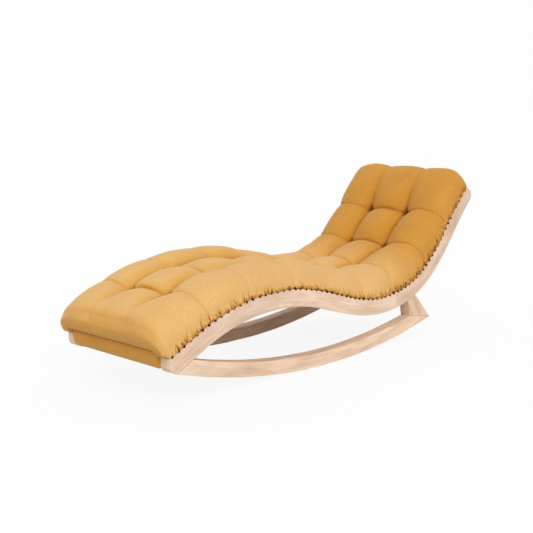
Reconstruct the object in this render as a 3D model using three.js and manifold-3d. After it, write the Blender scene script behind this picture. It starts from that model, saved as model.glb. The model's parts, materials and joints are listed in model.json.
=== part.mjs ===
// Rocking chaise lounge: two curved side frames on rockers, a slatted deck between them
// and a quilted cushion nailed along the top of the rails. Sizes are in millimetres.
// X runs from the foot end (minus) to the head end (plus), Y across, Z up. The side profile is drawn
// from the point where the rockers touch the floor, and the whole is centred on its own box at the end.
import * as THREE from 'three';
import { mergeVertices } from 'three/addons/utils/BufferGeometryUtils.js';
import Module from 'manifold-3d';

const wasm = await Module();
wasm.setup();

const degree = Math.PI / 180;

// Side frames
const frameWidth = 560;
const railThickness = 49;
const railDepth = 64.5;
const edgeChamfer = 3;
const noseReach = 798;
const noseHeight = 142.5;
const noseAngle = 23 * degree;
const noseRound = 26;
const kneeReach = 295;
const kneeHeight = 286.6;
const hollowReach = 293;
const hollowHeight = 175.5;
const headReach = 912.4;
const headHeight = 580.4;
const headAngle = 43.4 * degree;
const headOverrun = 18;
const headCutAngle = 27 * degree;
const headRound = 30;
const arcSteps = 5;

// How far each curve of the rail's centreline is pulled along its end directions
const noseHandleShare = 0.226;
const kneeFootHandleShare = 0.536;
const kneeSeatHandleShare = 0.397;
const hollowSeatHandleShare = 0.342;
const hollowBackHandleShare = 0.58;
const headHandleShare = 0.412;

// Rockers and struts
const rockerRadius = 2683;
const rockerDepth = 52.5;
const rockerFacet = 98;
const restWidth = 150;
const strutFootReach = 499;
const strutRun = 1340;
const strutHeadWidth = 49;
const tailReach = 641;

// Joints in the side frames
const footJointRun = 520;
const backJointRun = 1235;
const jointGap = 0.3;
const tenonThickness = 10;
const tenonWidth = 30;
const tenonLength = 40;
const railTenonLength = 60;
const noseTenonRun = 78;
const tailTenonReach = 545;

// Deck
const slatCount = 13;
const slatWidth = 60;
const slatThickness = 12;
const slatHousing = 14;
const slatSink = 1;
const crossRailWidth = 24;
const crossRailDepth = 42;
const stretcherWidth = 24;
const stretcherDepth = 34;
const stretcherClearance = 2;
const kneeStretcherRun = 640;
const seatStretcherRun = 1090;

// Cushion
const cellRows = 9;
const rowSteps = 5;
const footCrown = 120;
const kneeCrown = 112;
const seatCrown = 128;
const headCrown = 106;
const valleyDepth = 36;
const tuftDepth = 10;
const footOverhang = 30;
const headOverhang = 37;
const footCornerInset = 30;
const headCornerInset = 70;
const tipShare = 0.42;
const cellPower = 0.5;
const shoulderPower = 4.2;
const columnShare = 1 / 3;
const crossFadeShare = 0.3;
const footFadeShare = 0.1;
const acrossShares = [0, 0.17, columnShare, 0.5, 0.667, 0.82, 0.93, 0.985, 1];
const edgeShares = [0.98, 0.8, 0.45];
const coreHeight = 46;
const coreShoulder = 20;
const coreSlope = 32;
const rimWidth = 12;
const borderDepth = 13;
const borderDrop = 41;
const borderProud = 5;
const borderEaseShare = 0.25;

const halfWidth = frameWidth / 2;
const innerFace = halfWidth - railThickness;
const halfDepth = railDepth / 2;
const overrun = railDepth;
const outside = 2 * (noseReach + headReach);
const stations = cellRows * rowSteps;

// Centreline of the S-shaped rail, as four hand-set points joined by three curves
function along(angle, length) {
  return new THREE.Vector2(Math.cos(angle), Math.sin(angle)).multiplyScalar(length);
}

const nose = new THREE.Vector2(-noseReach, noseHeight);
const knee = new THREE.Vector2(-kneeReach, kneeHeight);
const hollow = new THREE.Vector2(hollowReach, hollowHeight);
const head = new THREE.Vector2(headReach, headHeight);
const footSpan = noseReach - kneeReach;
const seatSpan = kneeReach + hollowReach;
const backSpan = headReach - hollowReach;

const centreline = new THREE.CurvePath();
centreline.add(new THREE.CubicBezierCurve(
  nose,
  nose.clone().add(along(noseAngle, noseHandleShare * footSpan)),
  knee.clone().sub(along(0, kneeFootHandleShare * footSpan)),
  knee,
));
centreline.add(new THREE.CubicBezierCurve(
  knee,
  knee.clone().add(along(0, kneeSeatHandleShare * seatSpan)),
  hollow.clone().sub(along(0, hollowSeatHandleShare * seatSpan)),
  hollow,
));
centreline.add(new THREE.CubicBezierCurve(
  hollow,
  hollow.clone().add(along(0, hollowBackHandleShare * backSpan)),
  head.clone().sub(along(headAngle, headHandleShare * backSpan)),
  head,
));
const railRun = centreline.getLength();
const rowPitch = railRun / cellRows;
const stationPitch = railRun / stations;

// The place, direction and upward normal at a distance along the centreline, straight beyond its ends
function placeAt(run) {
  const inside = THREE.MathUtils.clamp(run, 0, railRun);
  const forward = centreline.getTangent(inside / railRun).normalize();
  const at = centreline.getPoint(inside / railRun).addScaledVector(forward, run - inside);
  return { at, forward, up: new THREE.Vector2(-forward.y, forward.x) };
}

// A point at a distance along the centreline and a height above the straight lines between stations
function offRail(run, rise) {
  const first = THREE.MathUtils.clamp(Math.floor(run / stationPitch), 0, stations - 1);
  const low = placeAt(first * stationPitch);
  const high = placeAt((first + 1) * stationPitch);
  const share = run / stationPitch - first;
  const lowPoint = low.at.addScaledVector(low.up, rise);
  const highPoint = high.at.addScaledVector(high.up, rise);
  return lowPoint.lerp(highPoint, share);
}

// Turning between drawn meshes and the solids that the cuts are made with
function toSolid(geometry) {
  const bare = geometry.clone();
  bare.deleteAttribute('normal');
  bare.deleteAttribute('uv');
  const merged = mergeVertices(bare);
  return new wasm.Manifold(new wasm.Mesh({
    numProp: 3,
    vertProperties: new Float32Array(merged.attributes.position.array),
    triVerts: new Uint32Array(merged.index.array),
  }));
}

function toGeometry(solid) {
  const mesh = solid.getMesh();
  const geometry = new THREE.BufferGeometry();
  geometry.setAttribute('position', new THREE.BufferAttribute(mesh.vertProperties, 3));
  geometry.setIndex(new THREE.BufferAttribute(mesh.triVerts, 1));
  geometry.computeVertexNormals();
  return geometry;
}

// An outline in the side profile, given thickness across Y from lowY to highY
function slab(outline, lowY, highY, chamfer) {
  const geometry = new THREE.ExtrudeGeometry(new THREE.Shape(outline), {
    depth: highY - lowY - 2 * chamfer,
    steps: 1,
    bevelEnabled: chamfer > 0,
    bevelThickness: chamfer,
    bevelSize: chamfer,
    bevelOffset: -chamfer,
    bevelSegments: 1,
  });
  geometry.rotateX(Math.PI / 2);
  geometry.translate(0, highY - chamfer, 0);
  return toSolid(geometry);
}

// A rectangle in the side profile, its width along a direction and its depth square to it
function plank(centre, forward, width, depth) {
  const side = new THREE.Vector2(-forward.y, forward.x);
  const corner = (wide, deep) => centre.clone()
    .addScaledVector(forward, wide * width / 2)
    .addScaledVector(side, deep * depth / 2);
  return [corner(-1, -1), corner(1, -1), corner(1, 1), corner(-1, 1)];
}

// The arc that rounds a corner between two straight lines
function roundCorner(before, corner, after, radius) {
  const toBefore = before.clone().sub(corner).normalize();
  const toAfter = after.clone().sub(corner).normalize();
  const half = Math.acos(toBefore.dot(toAfter)) / 2;
  const middle = toBefore.clone().add(toAfter).normalize();
  const centre = corner.clone().addScaledVector(middle, radius / Math.sin(half));
  const start = corner.clone().addScaledVector(toBefore, radius / Math.tan(half)).sub(centre);
  const end = corner.clone().addScaledVector(toAfter, radius / Math.tan(half)).sub(centre);
  const turn = Math.atan2(start.cross(end), start.dot(end));
  const points = [];
  for (let step = 0; step <= arcSteps; step += 1) {
    const spoke = start.clone().rotateAround(new THREE.Vector2(), turn * step / arcSteps);
    points.push(centre.clone().add(spoke));
  }
  return points;
}

// Points on the rocker's circles, whose centre is straight above the floor contact. The sole has one
// flat to rest on there, and shorter facets before and behind it.
const restAngle = restWidth / rockerRadius;
const facetAngle = rockerFacet / rockerRadius;
const frontFacets = Math.ceil((noseReach - restWidth / 2) / rockerFacet);
const rearFacets = Math.ceil((tailReach - restWidth / 2) / rockerFacet);

function onRocker(angle, radius) {
  return new THREE.Vector2(radius * Math.sin(angle), rockerRadius - radius * Math.cos(angle));
}

function arcPoints(radius) {
  const points = [];
  for (let facet = frontFacets; facet >= 0; facet -= 1) {
    points.push(onRocker(-restAngle / 2 - facet * facetAngle, radius));
  }
  for (let facet = 0; facet <= rearFacets; facet += 1) {
    points.push(onRocker(restAngle / 2 + facet * facetAngle, radius));
  }
  return points;
}

function onArcAt(reach, radius) {
  return onRocker(Math.asin(reach / radius), radius);
}

// The rail's outline before its ends are trimmed, run on past both ends
const stationRuns = Array.from({ length: stations + 1 }, (unused, station) => station * stationPitch);
const longRuns = [-overrun, ...stationRuns, railRun + overrun];

function railOutline() {
  const top = longRuns.map((run) => offRail(run, halfDepth));
  const bottom = longRuns.map((run) => offRail(run, -halfDepth));
  return [...bottom, ...top.reverse()];
}

// What trims the rail: an upright face at the nose rounded into the rocker's sole, and a slanted
// cut at the head whose lower corner is rounded into the underside
const noseFace = offRail(0, halfDepth).x;
const headTop = offRail(railRun + headOverrun, halfDepth);

function trimOutline() {
  const soleEdge = onArcAt(noseFace, rockerRadius);
  const soleBehind = onArcAt(-noseReach + railDepth, rockerRadius);
  const noseTop = new THREE.Vector2(noseFace, outside);
  const cutDirection = along(-headCutAngle, 1);
  const under = placeAt(railRun);
  const underPoint = offRail(railRun, -halfDepth);
  const reach = headTop.clone().sub(underPoint).cross(under.forward) / cutDirection.cross(under.forward);
  const cutCorner = headTop.clone().addScaledVector(cutDirection, -reach);
  const headCorner = roundCorner(headTop, cutCorner, underPoint, headRound);
  const lowPoint = headCorner[headCorner.length - 1];
  return [
    noseTop,
    ...roundCorner(noseTop, soleEdge, soleBehind, noseRound),
    soleBehind,
    new THREE.Vector2(-kneeReach, soleBehind.y),
    new THREE.Vector2(lowPoint.x, soleBehind.y),
    ...headCorner.reverse(),
    headTop,
    headTop.clone().addScaledVector(cutDirection, -headReach),
  ];
}

// Everything above the underside of the rail, less a gap, for seating the rocker and the strut
function aboveRailOutline() {
  const underside = longRuns.map((run) => offRail(run, -halfDepth - jointGap));
  const last = underside[underside.length - 1];
  return [
    ...underside,
    new THREE.Vector2(last.x, outside),
    new THREE.Vector2(-outside, outside),
    new THREE.Vector2(-outside, underside[0].y),
  ];
}

// Mortises and tenons share their outlines
const railTenons = [footJointRun, backJointRun].map((run) => {
  const place = placeAt(run);
  return { centre: place.at, forward: place.forward, width: railTenonLength, depth: tenonWidth };
});

function underRailTenon(run) {
  return {
    centre: offRail(run, -halfDepth),
    forward: placeAt(run).forward,
    width: tenonWidth,
    depth: tenonLength,
  };
}

const noseTenon = underRailTenon(noseTenonRun);
const strutTenon = underRailTenon(strutRun);
const strutFront = onArcAt(strutFootReach, rockerRadius - rockerDepth);
const tailTip = onArcAt(tailReach, rockerRadius);
const tailDirection = tailTip.clone().sub(strutFront).normalize();
const aboveTail = tailDirection.clone().rotateAround(new THREE.Vector2(), Math.PI / 2);
const tailTenon = {
  centre: strutFront.clone().addScaledVector(tailDirection, tailTenonReach - strutFootReach),
  forward: tailDirection,
  width: tenonWidth,
  depth: tenonLength,
};

function sideLimits(side) {
  return side < 0 ? [-halfWidth, -innerFace] : [innerFace, halfWidth];
}

function tenonSolid(tenon, side, spare) {
  const middle = side * (halfWidth - railThickness / 2);
  const reach = tenonThickness / 2 + spare;
  const outline = plank(tenon.centre, tenon.forward, tenon.width + 2 * spare, tenon.depth + 2 * spare);
  return slab(outline, middle - reach, middle + reach, 0);
}

// Slats, cross rails and stretchers, each housed in both rails
function slatPlace(index) {
  const run = railRun * (index + 1) / (slatCount + 1);
  const top = halfDepth - slatSink;
  const centre = offRail(run, top - slatThickness / 2);
  const low = offRail(run - slatWidth / 2, top);
  const high = offRail(run + slatWidth / 2, top);
  return { centre, forward: high.sub(low).normalize() };
}

const deckReach = innerFace + slatHousing;
const slatPlaces = Array.from({ length: slatCount }, (unused, index) => slatPlace(index));

function housing(outline) {
  return slab(outline, -deckReach - jointGap, deckReach + jointGap, 0);
}

function slatHousingSolid(place) {
  const side = new THREE.Vector2(-place.forward.y, place.forward.x);
  const depth = slatThickness + 2 * jointGap + overrun;
  const centre = place.centre.clone().addScaledVector(side, overrun / 2);
  return housing(plank(centre, place.forward, slatWidth + 2 * jointGap, depth));
}

function stretcherOutline(run, spare) {
  const rise = halfDepth - slatSink - slatThickness - stretcherClearance - stretcherDepth / 2;
  const width = stretcherWidth + 2 * spare;
  return plank(offRail(run, rise), placeAt(run).forward, width, stretcherDepth + 2 * spare);
}

const crossTop = halfDepth - jointGap;

// The foot cross rail stands upright behind the border, with its top along the rail's top
function footCrossOutline(spare, raised) {
  const front = noseFace + borderDepth + jointGap - spare;
  const back = front + crossRailWidth + 2 * spare;
  const slope = placeAt(0).forward;
  const topAt = (x) => offRail(0, crossTop).y + (x - noseFace) * slope.y / slope.x + raised;
  const floor = offRail(0, crossTop).y - crossRailDepth - spare;
  return [
    new THREE.Vector2(front, floor),
    new THREE.Vector2(back, floor),
    new THREE.Vector2(back, topAt(back)),
    new THREE.Vector2(front, topAt(front)),
  ];
}

function headCrossOutline(spare, raised) {
  const end = railRun - borderDepth / 2 + spare;
  const start = end - crossRailWidth - 2 * spare;
  const low = crossTop - crossRailDepth - spare;
  return [
    offRail(start, low),
    offRail(end, low),
    offRail(end, crossTop + raised),
    offRail(start, crossTop + raised),
  ];
}

const deckHousings = [
  ...slatPlaces.map(slatHousingSolid),
  housing(stretcherOutline(kneeStretcherRun, jointGap)),
  housing(stretcherOutline(seatStretcherRun, jointGap)),
  housing(footCrossOutline(jointGap, overrun)),
  housing(headCrossOutline(jointGap, overrun)),
];

// One whole side frame: rail in three boards, rocker and strut, cut to each other with a glue gap
function beyond(run, sense) {
  const place = placeAt(run);
  const centre = place.at.clone().addScaledVector(place.forward, sense * (outside - jointGap) / 2);
  return plank(centre, place.forward, outside, outside);
}

function railSolid(side) {
  const [lowY, highY] = sideLimits(side);
  let rail = slab(railOutline(), lowY, highY, edgeChamfer);
  rail = rail.intersect(slab(trimOutline(), lowY, highY, edgeChamfer));
  for (const tenon of [...railTenons, noseTenon, strutTenon]) {
    rail = rail.subtract(tenonSolid(tenon, side, jointGap));
  }
  for (const pocket of deckHousings) {
    rail = rail.subtract(pocket);
  }
  return rail;
}

function railBoards(side) {
  const [lowY, highY] = [-frameWidth, frameWidth];
  const rail = railSolid(side);
  const afterFoot = slab(beyond(footJointRun, 1), lowY, highY, 0);
  const beforeFoot = slab(beyond(footJointRun, -1), lowY, highY, 0);
  const afterSeat = slab(beyond(backJointRun, 1), lowY, highY, 0);
  const beforeSeat = slab(beyond(backJointRun, -1), lowY, highY, 0);
  return {
    foot: rail.subtract(afterFoot),
    seat: rail.subtract(beforeFoot).subtract(afterSeat),
    back: rail.subtract(beforeSeat),
  };
}

function rockerSolid(side) {
  const [lowY, highY] = sideLimits(side);
  const sole = arcPoints(rockerRadius);
  const top = arcPoints(rockerRadius - rockerDepth);
  let rocker = slab([...sole, ...top.reverse()], lowY, highY, edgeChamfer);
  const size = headReach;
  const centre = strutFront.clone()
    .addScaledVector(aboveTail, size / 2 - jointGap / 2)
    .addScaledVector(tailDirection, size / 2 - rockerDepth);
  rocker = rocker.subtract(slab(plank(centre, tailDirection, size, size), lowY - overrun, highY + overrun, 0));
  rocker = rocker.subtract(slab(aboveRailOutline(), lowY - overrun, highY + overrun, 0));
  for (const tenon of [noseTenon, tailTenon]) {
    rocker = rocker.subtract(tenonSolid(tenon, side, jointGap));
  }
  return rocker;
}

function strutSolid(side) {
  const [lowY, highY] = sideLimits(side);
  const frontTop = offRail(strutRun - strutHeadWidth / 2, -halfDepth);
  const rearTop = offRail(strutRun + strutHeadWidth / 2, -halfDepth);
  const lift = aboveTail.clone().multiplyScalar(jointGap / 2);
  const frontFoot = strutFront.clone().add(lift);
  const rearFoot = tailTip.clone().add(lift);
  const frontRise = frontTop.clone().sub(frontFoot).normalize();
  const rearRise = rearTop.clone().sub(rearFoot).normalize();
  const outline = [
    frontFoot,
    rearFoot,
    rearTop.clone().addScaledVector(rearRise, halfDepth),
    frontTop.clone().addScaledVector(frontRise, halfDepth),
  ];
  let strut = slab(outline, lowY, highY, edgeChamfer);
  strut = strut.subtract(slab(aboveRailOutline(), lowY - overrun, highY + overrun, 0));
  for (const tenon of [strutTenon, tailTenon]) {
    strut = strut.subtract(tenonSolid(tenon, side, jointGap));
  }
  return strut;
}

// Soft pieces are lofted through closed sections, each a loop of points, and capped at both ends
function loft(sections) {
  const size = sections[0].length;
  const positions = sections.flat().flatMap((point) => [point.x, point.y, point.z]);
  const index = [];
  for (let row = 0; row < sections.length - 1; row += 1) {
    for (let column = 0; column < size; column += 1) {
      const a = row * size + column;
      const b = row * size + (column + 1) % size;
      index.push(a, a + size, b, b, a + size, b + size);
    }
  }
  for (const end of [0, sections.length - 1]) {
    const middle = positions.length / 3;
    const centre = new THREE.Vector3();
    sections[end].forEach((point) => centre.add(point));
    centre.divideScalar(size);
    positions.push(centre.x, centre.y, centre.z);
    for (let column = 0; column < size; column += 1) {
      const a = end * size + column;
      const b = end * size + (column + 1) % size;
      index.push(...(end === 0 ? [middle, a, b] : [middle, b, a]));
    }
  }
  const geometry = new THREE.BufferGeometry();
  geometry.setAttribute('position', new THREE.Float32BufferAttribute(positions, 3));
  geometry.setIndex(index);
  return toSolid(geometry);
}

function section(run, flat) {
  return flat.map(([y, rise]) => {
    const point = offRail(run, halfDepth + rise);
    return new THREE.Vector3(point.x, y, point.y);
  });
}

// Shape of one cell: nothing at its borders, full at its middle
function swell(share) {
  return Math.sin(Math.PI * THREE.MathUtils.clamp(share, 0, 1)) ** cellPower;
}

// The crown's height, eased between the heights set at the foot, the knee, the seat and the head
function crownAt(run) {
  const crowns = [footCrown, kneeCrown, seatCrown, headCrown];
  const place = THREE.MathUtils.clamp(run / railRun, 0, 1) * (crowns.length - 1);
  const first = Math.min(Math.floor(place), crowns.length - 2);
  const ease = THREE.MathUtils.smoothstep(place, first, first + 1);
  return THREE.MathUtils.lerp(crowns[first], crowns[first + 1], ease);
}

// Cushion surface above the rail tops. The end rows have no valley at the pad's ends, the cross
// valleys fade towards the nailed edges and the lengthwise ones towards both ends.
function quiltRise(run, share) {
  const row = run / rowPitch;
  const width = Math.abs(share);
  const outer = width > columnShare;
  const cell = outer ? (width - columnShare) / (1 - columnShare) : (share + columnShare) / (2 * columnShare);
  const acrossSwell = outer && cell > 1 / 2 ? 1 : swell(cell);
  const endRow = row < 1 / 2 || row > cellRows - 1 / 2;
  const alongSwell = endRow ? 1 : swell(row - Math.floor(row));
  const crossFade = outer ? 1 - (1 - crossFadeShare) * cell : 1;
  const endFade = THREE.MathUtils.clamp(Math.min(row + footFadeShare, cellRows - row), 0, 1);
  const acrossDip = (1 - acrossSwell) * endFade;
  const alongDip = (1 - alongSwell) * crossFade;
  const both = acrossDip * alongDip;
  const shoulder = (1 - width ** shoulderPower) ** (1 / shoulderPower);
  return shoulder * (crownAt(run) - valleyDepth * (acrossDip + alongDip - both) - tuftDepth * both);
}

// How the pad draws in beyond the rail's ends: 1 over the rail, 0 at the tip of the overhang
function endSpread(run) {
  const past = Math.max(-run / footOverhang, (run - railRun - headOverrun) / headOverhang, 0);
  return Math.sqrt(Math.max(1 - past * past, 0));
}

const allShares = [...acrossShares.slice(1).reverse().map((share) => -share), ...acrossShares];

function padSection(run) {
  const spread = endSpread(run);
  const inset = run < 0 ? footCornerInset : headCornerInset;
  const reach = halfWidth - inset * (1 - spread);
  const middle = tipShare * crownAt(run);
  const flat = allShares.map((share) => {
    const rise = quiltRise(run, share);
    return [share * reach, jointGap + middle * (1 - spread) + rise * spread];
  });
  return section(run, flat);
}

function padSolid() {
  const footRuns = edgeShares.map((share) => -share * footOverhang);
  const headRuns = edgeShares.map((share) => railRun + headOverrun + share * headOverhang).reverse();
  return loft([...footRuns, ...stationRuns, railRun + headOverrun, ...headRuns].map(padSection));
}

// The foam core lies inside the cover, and the hollow in the cover is the same form with a gap
function coreSection(run, spare, low) {
  const side = halfWidth - rimWidth + spare;
  const shoulder = side - coreSlope;
  return section(run, [
    [-side, low],
    [-side, coreShoulder + spare],
    [-shoulder, coreHeight + spare],
    [shoulder, coreHeight + spare],
    [side, coreShoulder + spare],
    [side, low],
  ]);
}

function coreSolid(spare, low) {
  const runs = [rimWidth - spare, ...stationRuns.slice(1, -1), railRun - rimWidth + spare];
  return loft(runs.map((run) => coreSection(run, spare, low)));
}

// Borders: padded panels between the rails, below the cushion's ends
const borderEase = borderEaseShare * borderDrop;

function footBorderOutline() {
  const back = noseFace + borderDepth;
  const slope = placeAt(0).forward;
  const topFront = offRail(0, crossTop);
  const floor = topFront.y - borderDrop;
  return [
    topFront,
    new THREE.Vector2(noseFace - borderProud, topFront.y - borderEase),
    new THREE.Vector2(noseFace - borderProud, floor + borderEase),
    new THREE.Vector2(noseFace, floor),
    new THREE.Vector2(back, floor),
    new THREE.Vector2(back, topFront.y + borderDepth * slope.y / slope.x),
  ];
}

function headBorderOutline() {
  const start = railRun - borderDepth / 2 + jointGap;
  const cut = along(-headCutAngle, 1);
  const proud = along(Math.PI / 2 - headCutAngle, borderProud);
  const top = headTop.clone().addScaledVector(placeAt(railRun).up, -jointGap);
  const low = top.clone().addScaledVector(cut, borderDrop);
  return [
    offRail(start, crossTop - borderDrop),
    low,
    low.clone().addScaledVector(cut, -borderEase).add(proud),
    top.clone().addScaledVector(cut, borderEase).add(proud),
    top,
    offRail(start, crossTop),
  ];
}

const borderReach = innerFace - jointGap;
function borderSolid(outline) {
  return slab(outline, -borderReach, borderReach, borderProud);
}

// Materials
const wood = () => new THREE.MeshStandardMaterial({ color: 0xe2c7ac, roughness: 0.6, metalness: 0 });
const hiddenWood = () => new THREE.MeshStandardMaterial({ color: 0xd8bb95, roughness: 0.75, metalness: 0 });
const fabric = () => new THREE.MeshStandardMaterial({ color: 0xdca24c, roughness: 0.9, metalness: 0 });
const foam = () => new THREE.MeshStandardMaterial({ color: 0xf1e7c9, roughness: 0.95, metalness: 0 });

function piece(name, solid, material) {
  const mesh = new THREE.Mesh(toGeometry(solid), material);
  mesh.name = name;
  return mesh;
}

function sideFrame(side, label) {
  const frame = new THREE.Group();
  const boards = railBoards(side);
  frame.add(piece(`foot_rail_${label}`, boards.foot, wood()));
  frame.add(piece(`seat_rail_${label}`, boards.seat, wood()));
  frame.add(piece(`back_rail_${label}`, boards.back, wood()));
  frame.add(piece(`rocker_${label}`, rockerSolid(side), wood()));
  frame.add(piece(`strut_${label}`, strutSolid(side), wood()));
  frame.add(piece(`foot_joint_tenon_${label}`, tenonSolid(railTenons[0], side, 0), hiddenWood()));
  frame.add(piece(`back_joint_tenon_${label}`, tenonSolid(railTenons[1], side, 0), hiddenWood()));
  frame.add(piece(`nose_tenon_${label}`, tenonSolid(noseTenon, side, 0), hiddenWood()));
  frame.add(piece(`strut_head_tenon_${label}`, tenonSolid(strutTenon, side, 0), hiddenWood()));
  frame.add(piece(`strut_foot_tenon_${label}`, tenonSolid(tailTenon, side, 0), hiddenWood()));
  return frame;
}

function slat(place, index) {
  const geometry = new THREE.BoxGeometry(slatWidth, 2 * deckReach, slatThickness);
  const mesh = new THREE.Mesh(geometry, hiddenWood());
  mesh.position.set(place.centre.x, 0, place.centre.y);
  mesh.rotation.y = -place.forward.angle();
  mesh.name = `slat_${String(index + 1).padStart(2, '0')}`;
  return mesh;
}

function deck() {
  const group = new THREE.Group();
  const housed = (outline) => slab(outline, -deckReach, deckReach, 0);
  group.add(piece('foot_cross_rail', housed(footCrossOutline(0, 0)), hiddenWood()));
  group.add(piece('head_cross_rail', housed(headCrossOutline(0, 0)), hiddenWood()));
  group.add(piece('knee_stretcher', housed(stretcherOutline(kneeStretcherRun, 0)), hiddenWood()));
  group.add(piece('seat_stretcher', housed(stretcherOutline(seatStretcherRun, 0)), hiddenWood()));
  slatPlaces.forEach((place, index) => group.add(slat(place, index)));
  return group;
}

function upholstery() {
  const group = new THREE.Group();
  const cover = padSolid().subtract(coreSolid(jointGap, -overrun));
  group.add(piece('quilted_cover', cover, fabric()));
  group.add(piece('foam_core', coreSolid(0, jointGap), foam()));
  group.add(piece('foot_border', borderSolid(footBorderOutline()), fabric()));
  group.add(piece('head_border', borderSolid(headBorderOutline()), fabric()));
  return group;
}

const chaise = new THREE.Group();
chaise.add(sideFrame(-1, 'left'), sideFrame(1, 'right'), deck(), upholstery());

// Centred over its own box, standing on the floor
const box = new THREE.Box3().setFromObject(chaise);
const middle = box.getCenter(new THREE.Vector3());
chaise.position.set(-middle.x, -middle.y, -box.min.z);

export default chaise;
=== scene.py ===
"""Rocking chaise lounge: a quilted mustard cushion on a pale wooden frame with two rockers.

Lengths are in metres. The side profile is drawn from the rockers' contact with the floor and then shifted
into the frame's place.
"""
import json
import math
from contextlib import contextmanager

import bmesh
import bpy
import numpy as np
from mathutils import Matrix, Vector

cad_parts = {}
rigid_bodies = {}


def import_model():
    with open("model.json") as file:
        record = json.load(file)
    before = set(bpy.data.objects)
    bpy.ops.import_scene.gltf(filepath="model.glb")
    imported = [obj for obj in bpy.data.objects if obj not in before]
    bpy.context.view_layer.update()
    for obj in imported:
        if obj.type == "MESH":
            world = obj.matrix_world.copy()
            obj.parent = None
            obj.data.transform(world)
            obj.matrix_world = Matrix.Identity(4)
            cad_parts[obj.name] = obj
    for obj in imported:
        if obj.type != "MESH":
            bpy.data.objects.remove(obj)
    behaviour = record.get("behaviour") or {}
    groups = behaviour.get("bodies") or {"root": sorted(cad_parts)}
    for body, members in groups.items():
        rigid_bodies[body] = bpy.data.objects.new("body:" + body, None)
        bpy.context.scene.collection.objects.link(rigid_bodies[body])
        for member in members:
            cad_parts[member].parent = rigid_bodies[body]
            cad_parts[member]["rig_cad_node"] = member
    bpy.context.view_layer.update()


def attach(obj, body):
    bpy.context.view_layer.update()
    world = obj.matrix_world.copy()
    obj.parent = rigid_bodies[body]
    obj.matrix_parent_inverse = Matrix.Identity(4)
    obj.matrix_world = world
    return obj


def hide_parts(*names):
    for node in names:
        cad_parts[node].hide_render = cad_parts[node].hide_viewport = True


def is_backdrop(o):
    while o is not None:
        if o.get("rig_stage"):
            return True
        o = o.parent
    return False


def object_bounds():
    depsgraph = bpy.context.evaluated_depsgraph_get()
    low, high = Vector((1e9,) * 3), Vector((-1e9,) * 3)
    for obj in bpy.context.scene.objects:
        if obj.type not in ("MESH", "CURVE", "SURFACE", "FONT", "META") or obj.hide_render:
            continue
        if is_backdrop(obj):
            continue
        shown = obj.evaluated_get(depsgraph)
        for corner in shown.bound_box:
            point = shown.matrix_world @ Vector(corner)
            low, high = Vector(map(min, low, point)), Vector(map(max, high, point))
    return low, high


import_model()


def new_object(name, data):
    made = bpy.data.objects.new(name, data)
    bpy.context.scene.collection.objects.link(made)
    return made


def aim(thing, way):
    """Makes a camera or a lamp look along a direction."""
    thing.rotation_mode = "QUATERNION"
    thing.rotation_quaternion = Vector(way).to_track_quat("-Z", "Y")


# ---- camera, at the photograph's viewpoint ----
CAMERA_PLACE = Vector((-2.709006, -2.488323, 0.954947))
CAMERA_YAW = math.radians(43.8165)
CAMERA_PITCH = math.radians(9.601)
FOCAL_PIXELS = 934.09
PHOTO_PIXELS = 533
SENSOR_WIDTH = 36

camera_data = bpy.data.cameras.new("camera")
camera_data.sensor_width = SENSOR_WIDTH
camera_data.lens = FOCAL_PIXELS / PHOTO_PIXELS * SENSOR_WIDTH
camera_data.clip_start = 0.05
camera_data.clip_end = 100
camera = new_object("camera", camera_data)
camera.location = CAMERA_PLACE
aim(camera, (math.cos(CAMERA_PITCH) * math.cos(CAMERA_YAW),
             math.cos(CAMERA_PITCH) * math.sin(CAMERA_YAW), -math.sin(CAMERA_PITCH)))
bpy.context.scene.camera = camera

# ---- sizes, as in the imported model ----
SIDES = ((-1, "left"), (1, "right"))
SHIFT = np.array([-0.039253, -0.001048])
HALF_WIDTH = 0.280
RAIL_THICKNESS = 0.049
INNER_FACE = HALF_WIDTH - RAIL_THICKNESS
HALF_DEPTH = 0.03225
ROCKER_RADIUS = 2.683
ROCKER_DEPTH = 0.0525
NOSE_REACH = 0.798
HEAD_OVERRUN = 0.018
HEAD_CUT = math.radians(27)
NOSE_ROUND = 0.026
HEAD_ROUND = 0.030
STRUT_FOOT = 0.499
STRUT_RUN = 1.340
STRUT_HEAD = 0.049
TAIL_REACH = 0.641
FOOT_JOINT = 0.520
BACK_JOINT = 1.235
GLUE = 0.0003
EDGE = 0.003
EDGE_STEPS = 5
STRIP = 0.02


# ---- the rail's centreline ----
def polar(angle, length):
    return np.array([math.cos(angle), math.sin(angle)]) * length


def bezier(start, end, start_slope, end_slope, span, first, last):
    """Curve between two points, with its handles at shares of the span along the slopes."""
    near = start + polar(start_slope, first * span)
    far = end - polar(end_slope, last * span)
    t = np.linspace(0, 1, 500)[:, None]
    return start * (1 - t) ** 3 + 3 * near * t * (1 - t) ** 2 + 3 * far * t ** 2 * (1 - t) + end * t ** 3


NOSE = np.array([-0.798, 0.1425])
KNEE = np.array([-0.295, 0.2866])
HOLLOW = np.array([0.293, 0.1755])
HEAD = np.array([0.9124, 0.5804])
NOSE_SLOPE = math.radians(23)
HEAD_SLOPE = math.radians(43.4)
line = np.concatenate([bezier(NOSE, KNEE, NOSE_SLOPE, 0, 0.503, 0.226, 0.536)[:-1],
                       bezier(KNEE, HOLLOW, 0, 0, 0.588, 0.397, 0.342)[:-1],
                       bezier(HOLLOW, HEAD, 0, HEAD_SLOPE, 0.6194, 0.58, 0.412)])
line_run = np.concatenate([[0], np.cumsum(np.linalg.norm(np.diff(line, axis=0), axis=1))])
RUN = line_run[-1]
LAST = RUN + HEAD_OVERRUN
line_tangent = np.gradient(line, line_run, axis=0)
line_tangent /= np.linalg.norm(line_tangent, axis=1)[:, None]


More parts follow.
